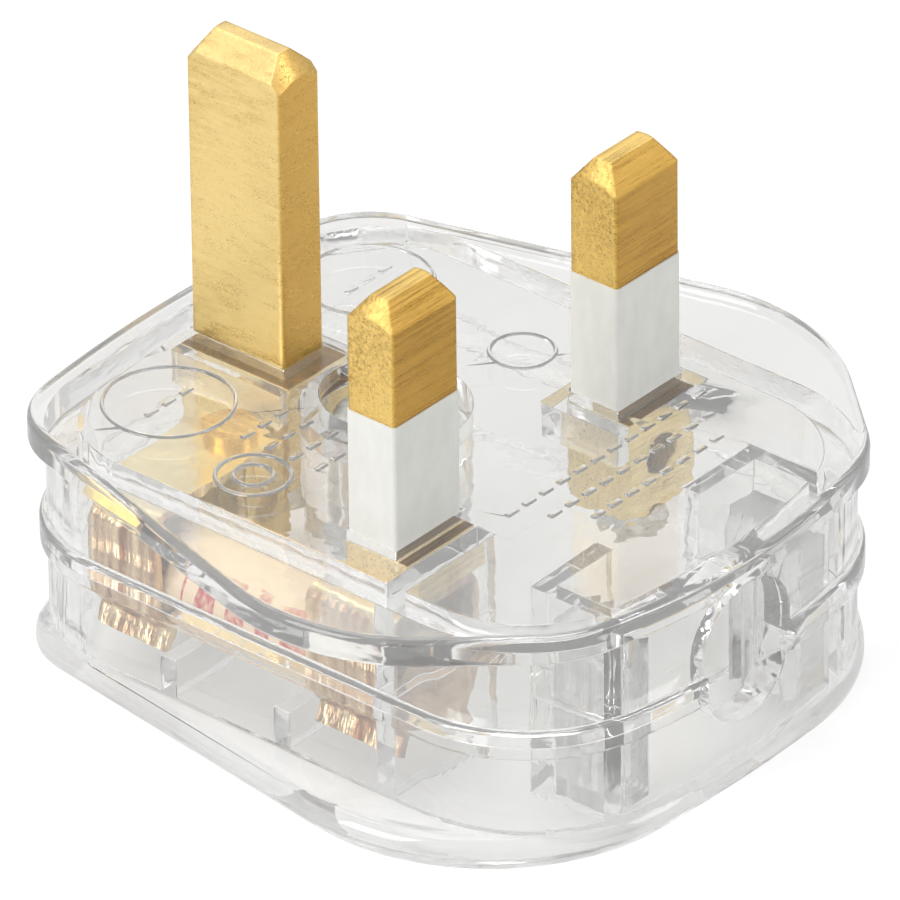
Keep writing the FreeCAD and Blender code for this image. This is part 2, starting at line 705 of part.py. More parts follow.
def make_neutral_pin():
    body = new_body("neutral_pin")
    block_below(body, "neutral_block", s("neutral_block_height"))
    small_pin_blade(body)
    middle = "(%s - %s) / 2" % (s("block_back"), s("block_front"))
    bottom = "-%s - %s" % (s("plate_thick"), s("neutral_block_height"))
    wire = new_sketch(body, "wire_hole", "XZ_Plane", s("block_front"))
    draw_circle(wire, "0", "%s + %s / 2" % (bottom, s("neutral_block_height")),
                "%s / 2" % s("wire_hole_diameter"))
    pocket(body, wire, s("wire_hole_depth"))
    screw_hole(body, "0", middle, bottom, "%s / 2" % s("neutral_block_height"))
    place(body, NEUTRAL_X, SMALL_PIN_Y, s("face_height"))
    return body


def screw_hole(body, x, y, bottom, depth):
    """Hole for a terminal screw, up from the bottom of a block."""
    sketch = new_sketch(body, body.Label + "_screw_hole", height=bottom)
    draw_circle(sketch, x, y, "%s / 2" % s("terminal_screw_diameter"))
    return pocket(body, sketch, depth, up=True)


def make_earth_pin():
    body = new_body("earth_pin")
    block = new_sketch(body, "earth_block", height="-" + s("plate_thick"))
    half = "%s / 2" % s("earth_block_width")
    draw_box(block, "-" + half, half, "-" + EARTH_FRONT, s("earth_block_back"))
    pad(body, block, s("earth_block_height"), down=True)
    centred_box(body, "earth_blade", s("earth_blade_thick"), s("earth_blade_width"),
                "-" + s("plate_thick"), s("earth_blade_reach"))
    round_edges(body, upright_edges(body, "-" + s("plate_thick"), s("earth_blade_reach")),
                s("blade_edge_radius"), "earth_blade_edges")
    cut_tip(body, "earth", s("earth_blade_reach"), s("earth_tip_strip"), s("earth_tip_drop"),
            s("earth_blade_width"), s("earth_blade_thick"),
            s("earth_cone_radius"), s("earth_cone_slope"), "Y")
    bottom = "-%s - %s" % (s("plate_thick"), s("earth_block_height"))
    wire = new_sketch(body, "earth_wire_hole", "YZ_Plane", s("earth_block_width") + " / 2")
    draw_circle(wire, "-" + s("earth_screw_offset"),
                "%s + %s / 2" % (bottom, s("earth_block_height")), "%s / 2" % s("wire_hole_diameter"))
    pocket(body, wire, s("earth_block_width"))
    screw_hole(body, "0", "-" + s("earth_screw_offset"), bottom, "%s / 2" % s("earth_block_height"))
    place(body, "0", s("earth_pin_y"), s("face_height"))
    return body


def make_sleeve(label, x):
    body = new_body(label)
    outer_width = "%s + 2 * %s" % (s("small_blade_width"), s("sleeve_proud"))
    outer_thick = "%s + 2 * %s" % (s("small_blade_thick"), s("sleeve_proud"))
    centred_box(body, label + "_outside", outer_width, outer_thick,
                "-" + s("plate_thick"), s("sleeve_reach"))
    round_edges(body, upright_edges(body, "-" + s("plate_thick"), s("sleeve_reach")),
                s("blade_edge_radius"), label + "_edges")
    bore = new_sketch(body, label + "_bore", height=s("sleeve_reach"))
    half_x = "(%s / 2 - %s)" % (s("small_blade_width"), s("sleeve_wall"))
    half_y = "(%s / 2 - %s)" % (s("small_blade_thick"), s("sleeve_wall"))
    draw_box(bore, "-" + half_x, half_x, "-" + half_y, half_y)
    pocket(body, bore, "%s + %s" % (s("sleeve_reach"), s("plate_thick")))
    place(body, x, SMALL_PIN_Y, s("face_height"))
    return body


# Screws and nut

def make_screw(label, thread, head, head_height, length):
    """Slotted cheese head screw, head down at z = 0, shank up."""
    body = new_body(label)
    profile = new_sketch(body, label + "_profile", "XZ_Plane")
    shank, rim = "(%s / 2)" % thread, "(%s / 2)" % head
    tip = "(%s / 6)" % thread
    top = "(%s + %s)" % (head_height, length)
    draw_outline(profile, [("0", "0"), (rim, "0"), (rim, head_height), (shank, head_height),
                           (shank, "%s - %s" % (top, tip)), ("%s - %s" % (shank, tip), top),
                           ("0", top)])
    turn(body, profile)
    slot = new_sketch(body, label + "_slot")
    reach = "(%s + %s)" % (rim, PAST)
    half = "(%s / 2)" % s("slot_width")
    draw_box(slot, "-" + reach, reach, "-" + half, half)
    pocket(body, slot, s("slot_depth"), up=True)
    return body


def make_terminal_screw(label, x, y, bottom):
    """Terminal screw, driven from the cover side into the bottom of a block."""
    body = make_screw(label, s("terminal_screw_diameter"), s("terminal_head_diameter"),
                      s("terminal_head_height"),
                      "%s + %s" % (s("terminal_screw_gap"), s("terminal_screw_bite")))
    z = "%s - %s - %s" % (bottom, s("terminal_screw_gap"), s("terminal_head_height"))
    place(body, x, y, z)
    return body


def make_cover_screw():
    """Cover screw, head up in the counterbore of the face."""
    length = ("(%s - %s - %s - %s)"
              % (s("face_height"), s("counterbore_depth"), s("floor_thick"), s("screw_floor_gap")))
    body = make_screw("cover_screw", s("screw_diameter"), s("screw_head_diameter"),
                      s("screw_head_height"), length)
    body.Placement = Placement(Vector(), Rotation(Vector(1, 0, 0), 180))
    place(body, "0", s("cover_screw_y"), "%s - %s + %s"
          % (s("face_height"), s("counterbore_depth"), s("screw_head_height")))
    return body


def make_cover_nut():
    body = new_body("cover_nut")
    sketch = new_sketch(body, "nut_outline")
    half = "%s / 2" % s("nut_width")
    draw_box(sketch, "-" + half, half, "-" + half, half)
    draw_circle(sketch, "0", "0", "%s / 2" % s("screw_diameter"))
    pad(body, sketch, s("nut_thick"))
    place(body, "0", s("cover_screw_y"), "%s - %s" % (s("seam_height"), s("nut_thick")))
    return body


# Fuse, its clips and the live terminal

def turned_along_y(label, points):
    """Body turned about the Y axis from a half section of (radius, y) points."""
    body = new_body(label)
    sketch = new_sketch(body, label + "_section")
    draw_outline(sketch, points)
    turn(body, sketch, axis="Y_Axis")
    return body


def make_fuse():
    half = "(%s / 2)" % s("fuse_length")
    outer, bore = "(%s / 2)" % s("barrel_diameter"), "(%s / 2)" % s("barrel_bore")
    rim = "(%s / 2)" % s("cap_diameter")
    seat = "(%s - %s)" % (rim, s("cap_wall"))
    cap_edge = "(%s - %s)" % (half, s("cap_length"))
    inside = "(%s - %s)" % (half, s("cap_end"))
    wire = "(%s / 2)" % s("element_diameter")

    barrel = turned_along_y("fuse_barrel", [
        (bore, "-" + inside), (seat, "-" + inside), (seat, "-" + cap_edge), (outer, "-" + cap_edge),
        (outer, cap_edge), (seat, cap_edge), (seat, inside), (bore, inside)])
    front = turned_along_y("fuse_cap_front", [
        ("0", "-" + half), (rim, "-" + half), (rim, "-" + cap_edge), (seat, "-" + cap_edge),
        (seat, "-" + inside), ("0", "-" + inside)])
    back = turned_along_y("fuse_cap_rear", [
        ("0", inside), (seat, inside), (seat, cap_edge), (rim, cap_edge), (rim, half), ("0", half)])
    filler = turned_along_y("fuse_filler", [
        (wire, "-" + inside), (bore, "-" + inside), (bore, inside), (wire, inside)])
    element = turned_along_y("fuse_element", [
        ("0", "-" + inside), (wire, "-" + inside), (wire, inside), ("0", inside)])
    pieces = [barrel, front, back, filler, element]
    for piece in pieces:
        place(piece, s("fuse_x"), s("fuse_y"), FUSE_Z)
    return pieces


def bent_strip(height, steps, thick, width):
    """Strip of sheet bent in the XZ plane and drawn along Y, starting level along +X.

    Each step is ("line", length) or ("arc", radius, turn): the radius is that of the
    middle of the sheet and a positive turn is to the left, in degrees.
    """
    left, right = [], []
    point, angle = Vector(0, 0, height), 0.0

    def side(offset):
        return point.add(Vector(-math.sin(angle) * offset, 0, math.cos(angle) * offset))

    for step in steps:
        ends = side(thick / 2), side(-thick / 2)
        if step[0] == "line":
            point = point.add(Vector(math.cos(angle), 0, math.sin(angle)).multiply(step[1]))
            left.append(Part.LineSegment(ends[0], side(thick / 2)))
            right.append(Part.LineSegment(ends[1], side(-thick / 2)))
            continue
        radius, sweep = step[1], math.radians(step[2])
        way = math.copysign(1, sweep)
        centre = side(way * radius)
        halves = []
        for part in (0.5, 0.5):
            angle += sweep * part
            spoke = Vector(math.sin(angle), 0, -math.cos(angle)).multiply(way * radius)
            point = centre.add(spoke)
            halves.append((side(thick / 2), side(-thick / 2)))
        left.append(Part.Arc(ends[0], halves[0][0], halves[1][0]))
        right.append(Part.Arc(ends[1], halves[0][1], halves[1][1]))
    last = Part.LineSegment(side(thick / 2), side(-thick / 2))
    first = Part.LineSegment(right[0].StartPoint, left[0].StartPoint)
    edges = [curve.toShape() for curve in left + [last] + right + [first]]
    outline = Part.Wire(Part.__sortEdges__(edges))
    return Part.Face(outline).extrude(Vector(0, width, 0))


def fuse_clip(label, start_y, rivet_x, rivet_y, tongue=0.0):
    """Clip of sheet: a flat top, two legs that wrap the fuse's cap, and flared lips.

    The tongue carries the flat top on past the leg, over the live terminal, and the
    sheet always reaches round its rivet.
    """
    sheet_thick, bend = number(s("clip_sheet")), number(s("clip_bend"))
    wrap, flare = number(s("clip_wrap")), number(s("clip_flare"))
    width = number(s("clip_width"))
    grip = number("%s / 2 + %s / 2" % (s("cap_diameter"), s("clip_sheet")))
    top = number("%s - %s / 2 - %s" % (CLIP_TOP, s("clip_sheet"), FUSE_Z))
    steps = [("line", grip - bend), ("arc", bend, -90), ("line", top - bend), ("arc", grip, -wrap),
             ("arc", bend / 2, wrap + 90 - flare), ("line", number(s("clip_lip")))]
    half = bent_strip(top, steps, sheet_thick, width)
    solid = half.fuse(half.mirror(Vector(), Vector(1, 0, 0)))
    if tongue:
        corner = Vector(grip - bend, 0, top - sheet_thick / 2)
        solid = solid.fuse(Part.makeBox(tongue, width, sheet_thick, corner))
    rivet = Vector(number(rivet_x), number(rivet_y) - number(start_y), top)
    tab = number(s("rivet_head_diameter"))
    corner = rivet.sub(Vector(tab / 2, tab / 2, sheet_thick / 2))
    solid = solid.fuse(Part.makeBox(tab, tab, sheet_thick, corner))
    foot = rivet.sub(Vector(0, 0, sheet_thick))
    solid = solid.cut(Part.makeCylinder(number(s("rivet_diameter")) / 2, 2 * sheet_thick, foot))
    clip = doc.addObject("Part::Feature", label)
    clip.Label = label
    clip.Shape = solid.removeSplitter()
    corner = Vector(number(s("fuse_x")), number(start_y), number(FUSE_Z))
    clip.Placement = Placement(corner, Rotation())
    return clip


def make_front_clip():
    """Clip riveted under the live pin."""
    return fuse_clip("fuse_clip_front", FUSE_FRONT, "0", SMALL_PIN_Y)


def make_rear_clip():
    """Clip at the earth end of the fuse, riveted on the live terminal."""
    start_y = "%s - %s" % (FUSE_BACK, s("clip_width"))
    rivet_x = "%s - (%s)" % (TERMINAL_X, s("fuse_x"))
    tongue = number("%s + %s / 2" % (s("terminal_width"), s("clip_bend")))
    return fuse_clip("fuse_clip_rear", start_y, rivet_x, TERMINAL_Y, tongue)


def make_live_terminal():
    body = new_body("live_terminal")
    centred_box(body, "terminal_block", s("terminal_width"), s("terminal_length"),
                "-" + TERMINAL_HEIGHT, "0")
    rivet = new_sketch(body, "rivet_hole")
    draw_circle(rivet, "0", "0", "%s / 2" % s("rivet_diameter"))
    pocket(body, rivet, s("rivet_depth"))
    wire = new_sketch(body, "terminal_wire_hole", "XZ_Plane", "%s / 2" % s("terminal_length"))
    drop = "%s * %s" % (TERMINAL_HEIGHT, s("terminal_wire_share"))
    draw_circle(wire, "0", "-" + drop, "%s / 2" % s("terminal_wire_diameter"))
    pocket(body, wire, s("terminal_length"))
    screw_hole(body, "0", "0", "-" + TERMINAL_HEIGHT, "%s / 2" % TERMINAL_HEIGHT)
    place(body, TERMINAL_X, TERMINAL_Y, TERMINAL_TOP)
    return body


def make_clip_rivet():
    body = new_body("clip_rivet")
    profile = new_sketch(body, "rivet_profile", "XZ_Plane")
    shank = "(%s / 2)" % s("rivet_diameter")
    rim = "(%s / 2)" % s("rivet_head_diameter")
    bottom = "-" + s("rivet_depth")
    seat = s("clip_sheet")
    top = "(%s + %s)" % (seat, s("rivet_head_height"))
    draw_outline(profile, [("0", bottom), (shank, bottom), (shank, seat), (rim, seat),
                           (rim, top), ("0", top)])
    turn(body, profile)
    place(body, TERMINAL_X, TERMINAL_Y, TERMINAL_TOP)
    return body


# Cord grip

def make_jaw(label, side):
    """Toothed jaw between the chamber's side wall and the cord hole."""
    body = new_body(label)
    sketch = new_sketch(body, label + "_section")
    outer = "(%s - %s)" % (s("chamber_half_width"), s("fit_gap"))
    inner = "(%s - %s)" % (outer, s("jaw_thick"))
    wall_y = end_corner("%s - %s" % (s("body_cord_end"), s("wall")),
                        "(%s - %s)" % (s("body_cord_bow"), s("wall")), outer)
    front = "(%s - (%s))" % (s("loose_gap"), wall_y)
    back = ("(%s + %s - %s - %s)"
            % (s("chamber_depth"), s("wall"), s("loose_gap"), s("body_cord_end")))
    length = "(%s - %s)" % (back, front)
    corners = [(outer, "0"), (outer, length)]
    for tooth in range(JAW_TEETH):
        share = "%s * %g" % (length, 1 - tooth / JAW_TEETH)
        root = "%s * %g" % (length, 1 - (tooth + 0.5) / JAW_TEETH)
        corners += [("%s + %s" % (inner, s("tooth_depth")), share), (inner, root)]
    corners.append(("%s + %s" % (inner, s("tooth_depth")), "0"))
    if side < 0:
        corners = [("-(%s)" % x, y) for x, y in reversed(corners)]
    draw_outline(sketch, corners)
    pad(body, sketch, "%s - %s - %s - %s"
        % (PLATE_UNDER, s("floor_thick"), s("fit_gap"), s("jaw_top_gap")))
    place(body, "0", front, "%s + %s" % (s("floor_thick"), s("fit_gap")))
    return body


def main():
    earth_bottom = "%s - %s" % (PLATE_UNDER, s("earth_block_height"))
    neutral_bottom = "%s - %s" % (PLATE_UNDER, s("neutral_block_height"))
    block_middle = "%s + (%s - %s) / 2" % (SMALL_PIN_Y, s("block_back"), s("block_front"))
    nodes = [
        make_base(),
        make_cover(),
        make_earth_pin(),
        make_live_pin(),
        make_neutral_pin(),
        make_sleeve("live_sleeve", LIVE_X),
        make_sleeve("neutral_sleeve", NEUTRAL_X),
        make_terminal_screw("earth_terminal_screw", "0",
                            "%s - %s" % (s("earth_pin_y"), s("earth_screw_offset")), earth_bottom),
        make_terminal_screw("neutral_terminal_screw", NEUTRAL_X, block_middle, neutral_bottom),
        make_terminal_screw("live_terminal_screw", TERMINAL_X, TERMINAL_Y,
                            "%s - %s" % (TERMINAL_TOP, TERMINAL_HEIGHT)),
        make_cover_screw(),
        make_cover_nut(),
        *make_fuse(),
        make_front_clip(),
        make_rear_clip(),
        make_live_terminal(),
        make_clip_rivet(),
        make_jaw("cord_grip_left", -1),
        make_jaw("cord_grip_right", 1),
    ]
    doc.recompute()
    for thing in doc.Objects:
        if "Invalid" in thing.State or "Error" in thing.State:
            raise RuntimeError("%s failed: %s" % (thing.Name, thing.State))
    os.makedirs("parts", exist_ok=True)
    for node in nodes:
        shape = node.Shape
        if shape.isNull() or not shape.isValid():
            raise RuntimeError(node.Label + " has no valid shape")
        shape.exportStep("parts/%s.step" % node.Label)
        print(node.Label, len(shape.Solids), round(shape.Volume, 2))


main()
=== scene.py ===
import math

import bmesh
import bpy
from mathutils import Matrix, Vector


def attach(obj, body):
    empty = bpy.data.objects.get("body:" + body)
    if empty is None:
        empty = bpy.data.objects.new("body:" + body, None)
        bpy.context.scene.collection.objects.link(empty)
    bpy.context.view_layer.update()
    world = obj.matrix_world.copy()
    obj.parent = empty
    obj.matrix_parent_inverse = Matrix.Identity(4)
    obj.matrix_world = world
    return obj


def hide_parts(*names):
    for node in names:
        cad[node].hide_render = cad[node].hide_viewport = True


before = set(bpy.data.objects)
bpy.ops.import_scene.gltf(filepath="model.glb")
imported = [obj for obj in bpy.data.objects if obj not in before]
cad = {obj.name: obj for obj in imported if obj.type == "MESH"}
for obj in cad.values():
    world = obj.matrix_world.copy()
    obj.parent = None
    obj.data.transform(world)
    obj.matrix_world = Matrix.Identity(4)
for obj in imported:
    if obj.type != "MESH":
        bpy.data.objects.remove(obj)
scene = bpy.context.scene
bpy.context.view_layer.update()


# Camera. A long lens a metre away keeps the upright edges parallel, as they are
# in the photograph. It looks down at the live side and the cord end.
azimuth, elevation, roll = -49.237, 31.733, -0.682
distance = 1.0
point_on_face = Vector((0, 0.00515, 0.0185))
offset_in_view = Vector((0.003519, -0.003496, 0))
lens_camera = bpy.data.cameras.new("product_camera")
lens_camera.lens = 611.8
lens_camera.sensor_width = 36.0
camera = bpy.data.objects.new("product_camera", lens_camera)
scene.collection.objects.link(camera)
camera_turn = (Matrix.Rotation(math.radians(azimuth), 4, "Z")
               @ Matrix.Rotation(math.radians(90 - elevation), 4, "X")
               @ Matrix.Rotation(math.radians(roll), 4, "Z"))
camera_aim = point_on_face + camera_turn.to_3x3() @ offset_in_view
camera.matrix_world = (Matrix.Translation(camera_aim) @ camera_turn
                       @ Matrix.Translation((0, 0, distance)))
scene.camera = camera
scene.view_settings.view_transform = "Standard"


# Studio. A white sweep and three soft boxes: a broad one above, a strong one at
# the live side that lights the wide face of the earth pin, a weak one at the cord end.
def linear(hex_code):
    """Linear colour from an sRGB hex value."""
    shares = [int(hex_code[place:place + 2], 16) / 255 for place in (1, 3, 5)]
    return [share / 12.92 if share <= 0.04045 else ((share + 0.055) / 1.055) ** 2.4
            for share in shares] + [1.0]


def add_node(tree, kind, inputs=None, **settings):
    """Adds a node with its settings; an input is a value or a socket to link."""
    made = tree.nodes.new(kind)
    for name, setting in settings.items():
        setattr(made, name, setting)
    for name, value in (inputs or {}).items():
        if isinstance(value, bpy.types.NodeSocket):
            tree.links.new(value, made.inputs[name])
        else:
            made.inputs[name].default_value = value
    return made


def finish(name, base, metallic=0.0, roughness=0.5, ior=None):
    """New material with its Principled shader's plain values set."""
    made = bpy.data.materials.new(name)
    made.use_nodes = True
    shader = made.node_tree.nodes["Principled BSDF"]
    shader.inputs["Base Color"].default_value = linear(base)
    shader.inputs["Metallic"].default_value = metallic
    shader.inputs["Roughness"].default_value = roughness
    if ior:
        shader.inputs["IOR"].default_value = ior
    return made, made.node_tree, shader


def soft_box(name, place, size, watts):
    """Square area lamp aimed at the middle of the plug."""
    lamp = bpy.data.lights.new(name, "AREA")
    lamp.size = size
    lamp.energy = watts
    holder = bpy.data.objects.new(name, lamp)
    scene.collection.objects.link(holder)
    holder.location = place
    towards_plug = Vector((0, 0, 0.015)) - Vector(place)
    holder.rotation_euler = towards_plug.to_track_quat("-Z", "Y").to_euler()


soft_box("overhead_box", (0.05, 0.10, 0.60), size=0.50, watts=1.5)
soft_box("live_side_box", (-0.55, 0.12, 0.32), size=0.35, watts=1.6)
soft_box("cord_side_box", (0.25, -0.55, 0.30), size=0.25, watts=0.5)

world = bpy.data.worlds.new("white_studio")
scene.world = world
world.use_nodes = True
sky = world.node_tree
sky.nodes.clear()
seen = add_node(sky, "ShaderNodeLightPath")
direction = add_node(sky, "ShaderNodeTexCoord")
height = add_node(sky, "ShaderNodeSeparateXYZ", {"Vector": direction.outputs["Generated"]})
# glass and metal see the studio's walls darken towards the floor, matt surfaces see an
# even light grey, and the camera sees white
walls = add_node(sky, "ShaderNodeValToRGB", {"Fac": height.outputs["Z"]})
walls.color_ramp.elements[0].position = 0.0
walls.color_ramp.elements[0].color = linear("#BCBCBA")
walls.color_ramp.elements[1].position = 0.4
walls.color_ramp.elements[1].color = linear("#FFFFFF")
polished = add_node(sky, "ShaderNodeMath", {0: seen.outputs["Is Glossy Ray"],
                                            1: seen.outputs["Is Transmission Ray"]},
                    operation="MAXIMUM")
shown = add_node(sky, "ShaderNodeMixRGB",
                 {"Fac": polished.outputs[0], "Color1": linear("#CFCFCF"),
                  "Color2": walls.outputs["Color"]})
studio = add_node(sky, "ShaderNodeBackground",
                  {"Color": shown.outputs["Color"], "Strength": 0.9})
white = add_node(sky, "ShaderNodeBackground", {"Color": linear("#FFFFFF"), "Strength": 1.0})
chosen = add_node(sky, "ShaderNodeMixShader", {"Fac": seen.outputs["Is Camera Ray"]})
sky.links.new(studio.outputs[0], chosen.inputs[1])
sky.links.new(white.outputs[0], chosen.inputs[2])
add_node(sky, "ShaderNodeOutputWorld", {"Surface": chosen.outputs[0]})

bpy.ops.object.select_all(action="DESELECT")
bpy.ops.mesh.primitive_plane_add(size=6.0, location=(0, 0, 0))
floor = bpy.context.object
floor.name = "white_floor"
paper, tree, shader = finish("white sweep paper", "#CFCFCF", roughness=0.9)
shader.inputs["Specular IOR Level"].default_value = 0.0
shader.inputs["Emission Color"].default_value = linear("#FFFFFF")
# the lit paper falls short of white; what the camera and reflections see is topped up
route = add_node(tree, "ShaderNodeLightPath")
for_camera = add_node(tree, "ShaderNodeMath", {0: route.outputs["Is Camera Ray"], 1: 0.42},
                      operation="MULTIPLY")
glow = add_node(tree, "ShaderNodeMath", {0: route.outputs["Is Glossy Ray"], 1: 0.20,
                                         2: for_camera.outputs[0]},
                operation="MULTIPLY_ADD")
tree.links.new(glow.outputs[0], shader.inputs["Emission Strength"])
floor.data.materials.append(paper)


# Pins. Each is one piece of brass: a blade with a bevelled tip, and a block inside for
# its wire. The earth pin is a tumbled casting, finely pitted; the small pins are cut
# from drawn bar and show lines along it. Faces that look along Y get painted shade.
def dress(material, *names):
    """Gives CAD nodes that keep their shape a material."""
    for name in names:
        cad[name].data.materials.clear()
        cad[name].data.materials.append(material)


plate_underside = 0.0164


def brass(name, lines_scale, line_depth, pit_size, pit_depth, light, dark, side_shade_tint,
          grime_share):
    """Brass scored by lines and dotted with pits; the lines' scale is per metre by axis."""
    material, tree, shader = finish(name, light, metallic=1.0, roughness=0.3)
    place = add_node(tree, "ShaderNodeTexCoord")
    at = add_node(tree, "ShaderNodeSeparateXYZ", {"Vector": place.outputs["Object"]})
    sides = add_node(tree, "ShaderNodeSeparateXYZ", {"Vector": place.outputs["Normal"]})
    lines_at = add_node(tree, "ShaderNodeMapping",
                        {"Vector": place.outputs["Object"], "Scale": lines_scale})
    lines = add_node(tree, "ShaderNodeTexNoise",
                     {"Vector": lines_at.outputs["Vector"], "Scale": 1.0,
                      "Detail": 5.0, "Roughness": 0.75})
    pits = add_node(tree, "ShaderNodeTexNoise",
                    {"Vector": place.outputs["Object"], "Scale": 1 / pit_size,
                     "Detail": 4.0, "Roughness": 0.65})
    hollows = add_node(tree, "ShaderNodeMapRange",
                       {"Value": pits.outputs["Fac"], "From Min": 0.30, "From Max": 0.43})
    clouds = add_node(tree, "ShaderNodeTexNoise",
                      {"Vector": place.outputs["Object"], "Scale": 160.0,
                       "Detail": 3.0, "Roughness": 0.5})
    cloudy = add_node(tree, "ShaderNodeMapRange",
                      {"Value": clouds.outputs["Fac"], "From Min": 0.3, "From Max": 0.7,
                       "To Min": 0.2, "To Max": 1.0})
    # dark in the pits and between the lines, a little uneven all over
    shade = add_node(tree, "ShaderNodeMapRange",
                     {"Value": lines.outputs["Fac"], "From Min": 0.35, "From Max": 0.60,
                      "To Min": grime_share, "To Max": 0.0})
    grime = add_node(tree, "ShaderNodeMath",
                     {0: shade.outputs["Result"], 1: cloudy.outputs["Result"]},
                     operation="MULTIPLY")
    clean = add_node(tree, "ShaderNodeMath", {0: 1.0, 1: hollows.outputs["Result"]},
                     operation="SUBTRACT")
    dirt = add_node(tree, "ShaderNodeMath", {0: clean.outputs[0], 1: 0.40, 2: grime.outputs[0]},
                    operation="MULTIPLY_ADD", use_clamp=True)
    # painted shade: faces that look along Y are mixed towards a darker tint
    facing = add_node(tree, "ShaderNodeMath", {0: sides.outputs["Y"]}, operation="ABSOLUTE")
    side_shade = add_node(tree, "ShaderNodeMath", {0: facing.outputs[0], 1: 0.85},
                       operation="MULTIPLY")
    side_shaded = add_node(tree, "ShaderNodeMixRGB",
                    {"Fac": side_shade.outputs[0], "Color1": linear(light),
                     "Color2": linear(side_shade_tint)})
    # inside the housing the brass is untouched and paler
    inside = add_node(tree, "ShaderNodeMath", {0: at.outputs["Z"], 1: plate_underside},
                      operation="LESS_THAN")
    untouched = add_node(tree, "ShaderNodeMixRGB",
                         {"Fac": inside.outputs[0], "Color1": side_shaded.outputs["Color"],
                          "Color2": linear("#FFE6A4")})
    tint = add_node(tree, "ShaderNodeMixRGB",
                    {"Fac": dirt.outputs[0], "Color1": untouched.outputs["Color"],
                     "Color2": linear(dark)})
    tree.links.new(tint.outputs["Color"], shader.inputs["Base Color"])
    gloss = add_node(tree, "ShaderNodeMapRange",
                     {"Value": lines.outputs["Fac"], "From Min": 0.3, "From Max": 0.7,
                      "To Min": 0.20, "To Max": 0.40})
    tree.links.new(gloss.outputs["Result"], shader.inputs["Roughness"])
    # the edges were rolled over by tumbling
    rolled = add_node(tree, "ShaderNodeBevel", {"Radius": 0.00035}, samples=6)
    scored = add_node(tree, "ShaderNodeBump",
                      {"Height": lines.outputs["Fac"], "Strength": 1.0,
                       "Distance": line_depth, "Normal": rolled.outputs["Normal"]})
    pitted = add_node(tree, "ShaderNodeBump",
                      {"Height": hollows.outputs["Result"], "Strength": 1.0,
                       "Distance": pit_depth, "Normal": scored.outputs["Normal"]})
    tree.links.new(pitted.outputs["Normal"], shader.inputs["Normal"])
    return material


# the third colour of each brass is painted shade for its faces that look along Y
dress(brass("cast brass", lines_scale=(420, 300, 1500), line_depth=0.00005, pit_size=0.00016,
            pit_depth=0.000016, light="#FFE29A", dark="#B98A34", side_shade_tint="#E4B65C",
            grime_share=0.40),
      "earth_pin")
dress(brass("drawn brass", lines_scale=(90, 3600, 3600), line_depth=0.00007, pit_size=0.00014,
            pit_depth=0.000008, light="#FFDB84", dark="#8A5F1C", side_shade_tint="#CB9A42",
            grime_share=0.70),
      "live_pin", "neutral_pin")


# Sleeves. White nylon is moulded round the lower half of the live and neutral blades,
# so that no bare metal shows before the pin is home. The skin is faintly uneven.
def grained(name, light, dark, stretch, depth, metallic=0.0, roughness=0.4, ior=None, edge=0.0):
    """Colour and surface vary with a noise; its stretch is per metre by axis."""
    made, tree, shader = finish(name, light, metallic, roughness, ior)
    place = add_node(tree, "ShaderNodeTexCoord")
    at = add_node(tree, "ShaderNodeMapping",
                  {"Vector": place.outputs["Object"], "Scale": stretch})
    noise = add_node(tree, "ShaderNodeTexNoise",
                     {"Vector": at.outputs["Vector"], "Scale": 1.0,
                      "Detail": 4.0, "Roughness": 0.6})
    tones = add_node(tree, "ShaderNodeValToRGB", {"Fac": noise.outputs["Fac"]})
    tones.color_ramp.elements[0].position = 0.35
    tones.color_ramp.elements[0].color = linear(dark)
    tones.color_ramp.elements[1].position = 0.65
    tones.color_ramp.elements[1].color = linear(light)
    tree.links.new(tones.outputs["Color"], shader.inputs["Base Color"])
    rough = add_node(tree, "ShaderNodeMapRange",
                     {"Value": noise.outputs["Fac"], "From Min": 0.3, "From Max": 0.7,
                      "To Min": roughness * 1.2, "To Max": roughness * 0.8})
    tree.links.new(rough.outputs["Result"], shader.inputs["Roughness"])
    bump = add_node(tree, "ShaderNodeBump",
                    {"Height": noise.outputs["Fac"], "Strength": 1.0, "Distance": depth})
    if edge:
        rounded = add_node(tree, "ShaderNodeBevel", {"Radius": edge}, samples=4)
        tree.links.new(rounded.outputs["Normal"], bump.inputs["Normal"])
    tree.links.new(bump.outputs["Normal"], shader.inputs["Normal"])
    return made, tree, shader


nylon, *_ = grained("white nylon sleeve", "#F8F8F2", "#F1F1EA", stretch=(900, 900, 350),
                    depth=0.00001, roughness=0.5, ior=1.53, edge=0.0002)
dress(nylon, "live_sleeve", "neutral_sleeve")


# Housing. Base and cover are injection moulded in clear polycarbonate and screwed together.
# Each takes its CAD solid's shape and gets soft mould edges; a hair of air between the two
# lets the seam show. The face has raised rings and bars where a maker's words would be.
face_top = 0.0185
floor_top = 0.0025
seam = 0.010
seam_air = 0.00004
level_tolerance = 1e-5
sliver = 1e-5
edge_rounding = 0.00012


def merged_copy(name, node):
    """Mesh of a CAD node as a piece of its own, with its loose triangles joined."""
    bpy.ops.object.select_all(action="DESELECT")
    piece = bpy.data.objects.new(name, cad[node].data.copy())
    scene.collection.objects.link(piece)
    bpy.context.view_layer.objects.active = piece
    piece.select_set(True)
    piece.data.materials.clear()
    bpy.ops.object.mode_set(mode="EDIT")
    bpy.ops.mesh.select_all(action="SELECT")
    bpy.ops.mesh.remove_doubles(threshold=1e-6)
    bpy.ops.mesh.dissolve_degenerate(threshold=sliver)
    bpy.ops.object.mode_set(mode="OBJECT")
    return piece


